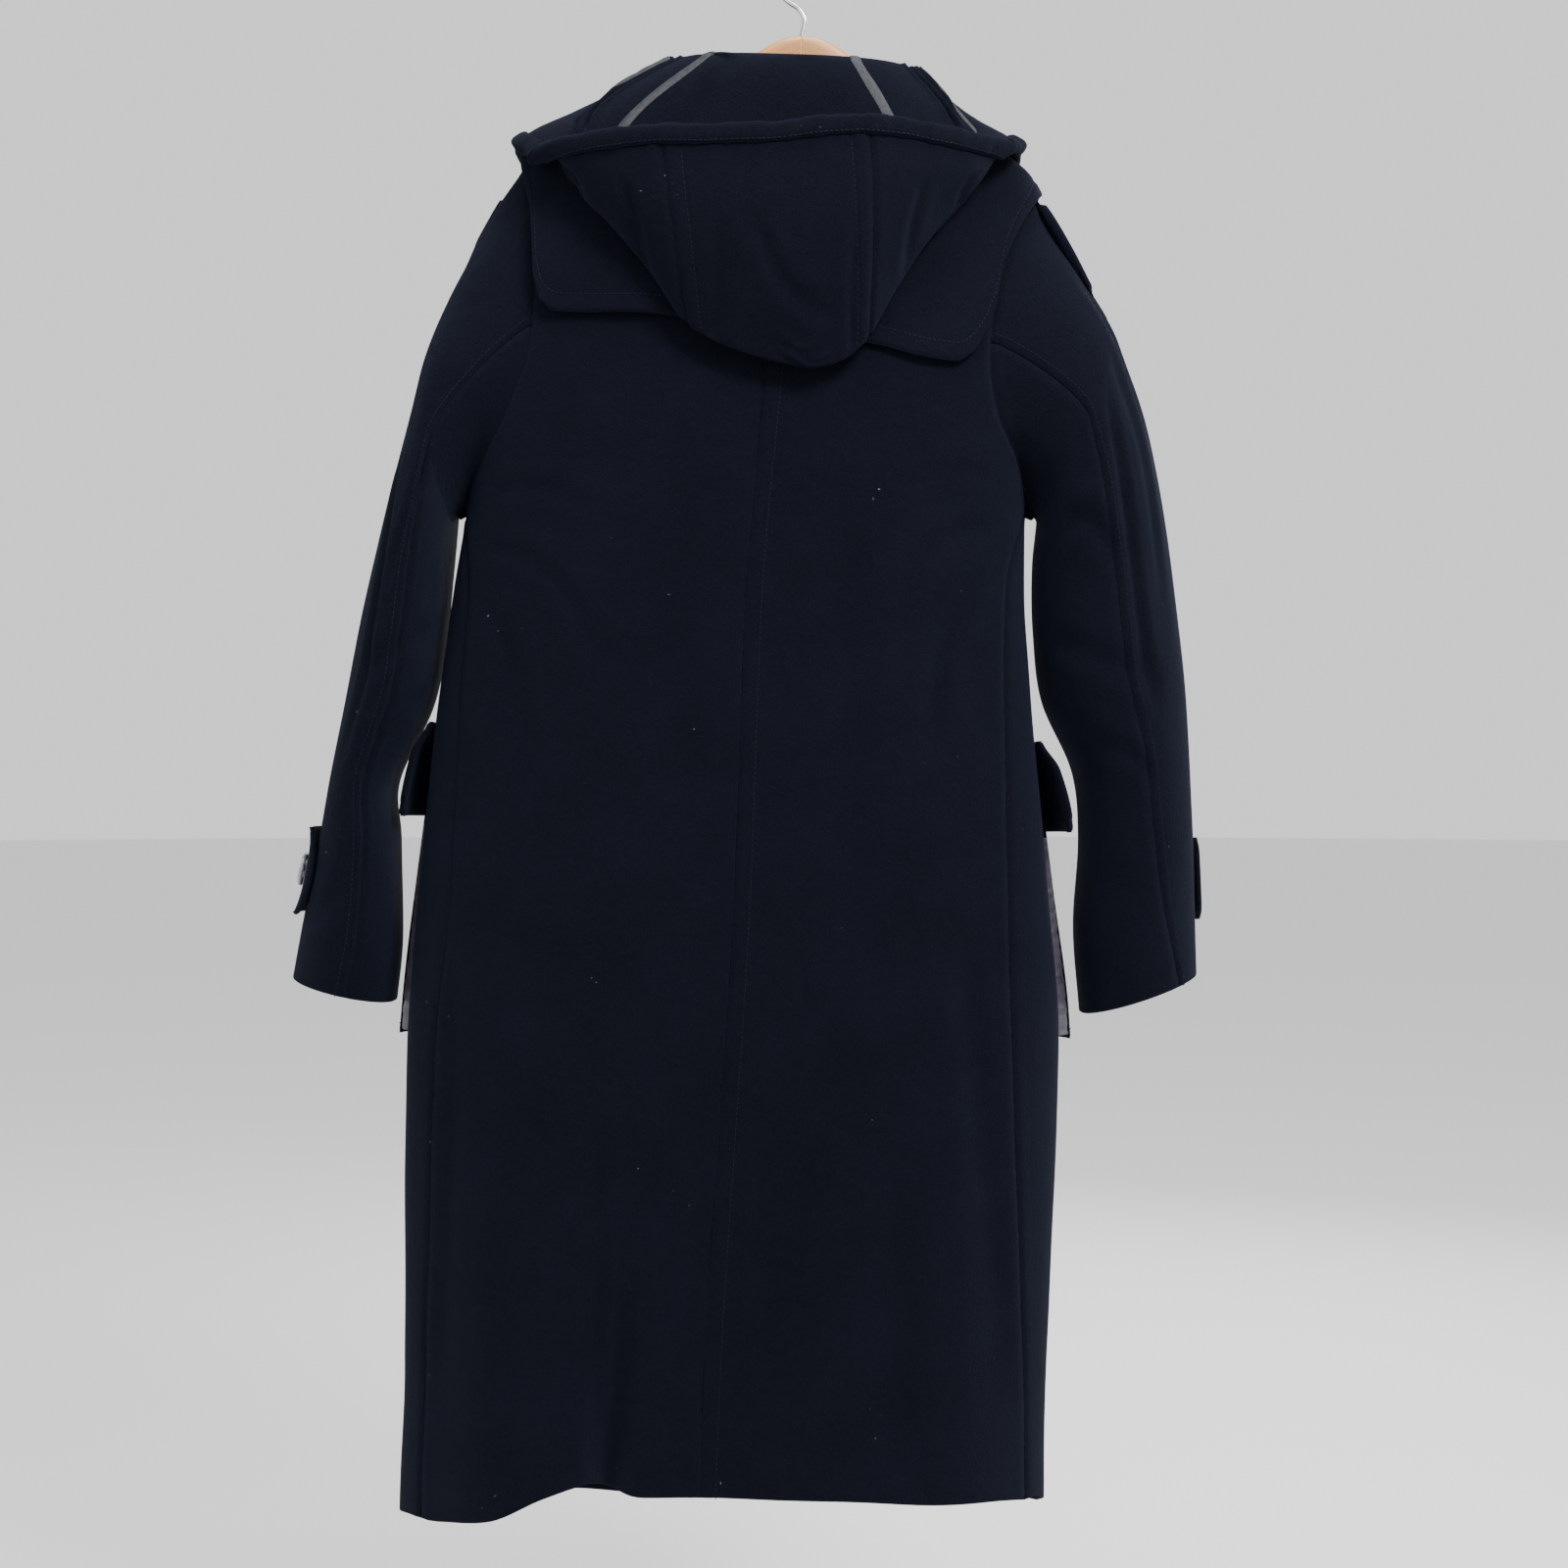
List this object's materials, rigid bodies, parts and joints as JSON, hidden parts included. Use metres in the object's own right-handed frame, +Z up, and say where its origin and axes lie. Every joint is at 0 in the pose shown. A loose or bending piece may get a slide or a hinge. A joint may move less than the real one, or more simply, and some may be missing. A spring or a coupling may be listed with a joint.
{
  "type": "hooded duffle coat on a wooden hanger",
  "caption": "Knee-length hooded duffle coat of dark melton cloth, hanging with its toggles closed on a wooden hanger with a wire hook.",
  "frame": {"origin": "inside top of the hook's bend, where it rests on a rail", "axes": "+Z up, +X to the wearer's right, -Y out of the coat's back"},
  "size_m": [0.6747, 0.2064, 1.1567],
  "materials": {
    "wool": "felted melton with a short nap",
    "lining": "satin",
    "tape": "satin binding tape",
    "wood": "lacquered",
    "steel": "bright wire",
    "button": "pearly",
    "horn": "polished, horn-like",
    "leather": "smooth"
  },
  "bodies": {
    "root": {"back_left": "wool", "back_right": "wool", "front_left": "wool", "front_right": "wool", "sleeve_top_left": "wool", "sleeve_top_right": "wool", "sleeve_under_left": "wool", "sleeve_under_right": "wool", "yoke": "wool", "hood_left": "wool", "hood_centre": "wool", "hood_right": "wool", "hood_edge_roll": "wool", "pocket_left": "wool", "pocket_right": "wool", "flap_left": "wool", "flap_right": "wool", "cuff_strap_left": "wool", "cuff_strap_right": "wool", "hood_tape_left": "tape", "hood_tape_right": "tape", "hood_tape_shoulder_left": "tape", "hood_tape_shoulder_right": "tape", "pocket_lining_left": "lining", "pocket_lining_right": "lining", "cuff_button_left": "button", "cuff_button_right": "button", "hanger_arm_left": "wood", "hanger_arm_right": "wood", "hanger_hook": "steel", "patch_left_1": "leather", "patch_right_1": "leather", "loop_1": "leather", "toggle_cord_1": "leather", "toggle_1": "horn", "patch_left_2": "leather", "patch_right_2": "leather", "loop_2": "leather", "toggle_cord_2": "leather", "toggle_2": "horn", "patch_left_3": "leather", "patch_right_3": "leather", "loop_3": "leather", "toggle_cord_3": "leather", "toggle_3": "horn", "patch_left_4": "leather", "patch_right_4": "leather", "loop_4": "leather", "toggle_cord_4": "leather", "toggle_4": "horn"}
  },
  "joints": []
}
